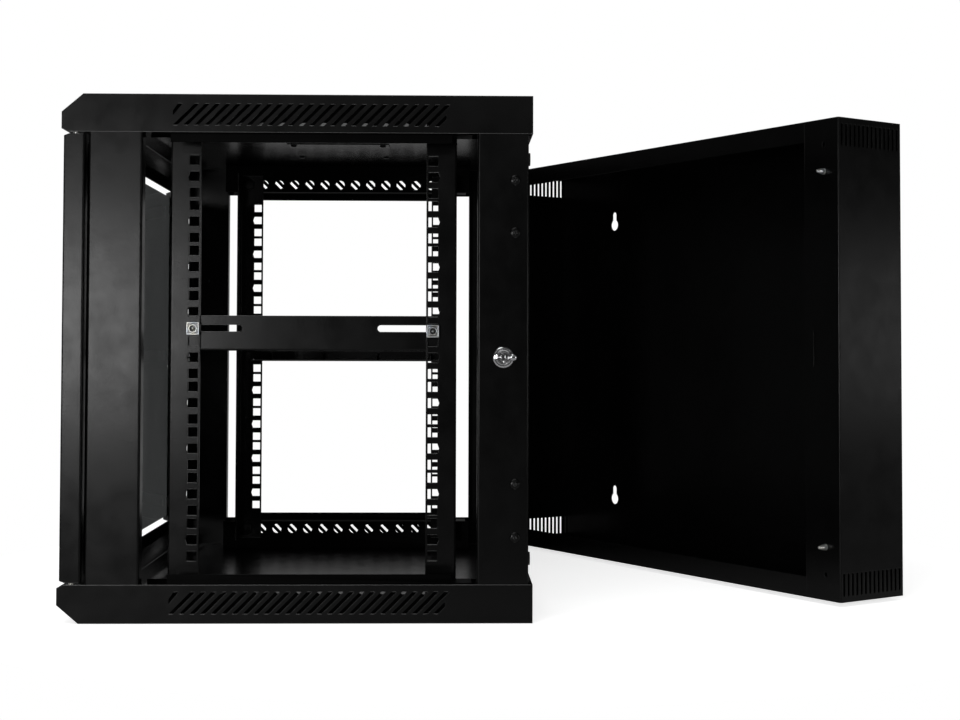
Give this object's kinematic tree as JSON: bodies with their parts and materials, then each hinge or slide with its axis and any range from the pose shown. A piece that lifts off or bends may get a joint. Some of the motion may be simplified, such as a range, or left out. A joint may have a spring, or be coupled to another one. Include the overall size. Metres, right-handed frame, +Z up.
{
  "type": "wall mount network cabinet",
  "caption": "Black steel wall mount network cabinet in two sections: rack frame with glass door, perforated rails and vented covers, hinged to a shallow wall pan with keyholes and a cam lock.",
  "frame": {"origin": "centre of the base cover's underside, midway between the sides and between the cover's front and rear edges", "axes": "+Z up, +Y from the glass door to the rear, +X to the right of someone facing the door; the base faces -Z"},
  "size_m": [0.6461, 0.8462, 0.503],
  "materials": {
    "black_steel": "satin black powder coat",
    "zinc": "bright zinc plate",
    "lock_chrome": "dark nickel plate",
    "smoked_glass": "smoked toughened glass",
    "black_plastic": "moulded nylon"
  },
  "bodies": {
    "main_section": {"roof_cover": "black_steel", "base_cover": "black_steel", "roof_entry_plate": "black_steel", "base_entry_plate": "black_steel", "fan_plates": "black_steel", "fan_plate_screws": "black_steel", "front_post_left": "black_steel", "front_post_right": "black_steel", "rear_post_left": "black_steel", "rear_post_right": "black_steel", "top_beam_left": "black_steel", "top_beam_right": "black_steel", "bottom_beam_left": "black_steel", "bottom_beam_right": "black_steel", "front_bar_top": "black_steel", "front_bar_bottom": "black_steel", "rear_bar_top": "black_steel", "rear_bar_bottom": "black_steel", "front_rail_left": "black_steel", "front_rail_right": "black_steel", "rear_rail_left": "black_steel", "rear_rail_right": "black_steel", "support_bracket_left": "black_steel", "support_bracket_right": "black_steel", "cage_nuts": "zinc", "cage_screws": "zinc", "rail_bolts": "zinc", "rear_post_screws": "black_steel", "guide_bushes": "black_plastic", "section_lock_barrel": "lock_chrome", "section_lock_nut": "zinc", "post_hinge_upper": "black_steel", "post_hinge_lower": "black_steel", "section_hinge_pins": "zinc", "door_hinge_lugs": "black_steel"},
    "section_lock": {"section_lock_plug": "lock_chrome", "section_lock_cam": "zinc"},
    "wall_section": {"wall_back_plate": "black_steel", "wall_side_hinge": "black_steel", "wall_side_lock": "black_steel", "wall_top": "black_steel", "wall_bottom": "black_steel", "guide_pins": "zinc", "wall_hinge_upper": "black_steel", "wall_hinge_lower": "black_steel"},
    "front_door": {"door_stile_left": "black_steel", "door_stile_right": "black_steel", "door_glass": "smoked_glass", "glass_clips": "black_plastic", "door_hinge_blocks": "black_plastic", "door_hinge_pins": "zinc", "door_lock_barrel": "lock_chrome", "door_lock_nut": "zinc"},
    "door_lock": {"door_lock_plug": "lock_chrome", "door_lock_cam": "zinc"}
  },
  "joints": [
    {"name": "section_swing", "type": "hinge", "parent": "main_section", "child": "wall_section", "pos_m": [-0.2955, 0.23, 0.2515], "axis": [0, 0, 1], "range_deg": [-32.1, 68]},
    {"name": "section_lock_turn", "type": "hinge", "parent": "main_section", "child": "section_lock", "pos_m": [0.2663, 0.1968, 0.2522], "axis": [-1, 0, 0], "range_deg": [0, 90]},
    {"name": "door_swing", "type": "hinge", "parent": "main_section", "child": "front_door", "pos_m": [0.289, -0.2133, 0.2515], "axis": [0, 0, 1], "range_deg": [0, 120]},
    {"name": "door_lock_turn", "type": "hinge", "parent": "front_door", "child": "door_lock", "pos_m": [-0.262, -0.2, 0.2522], "axis": [0, -1, 0], "range_deg": [0, 90]}
  ]
}
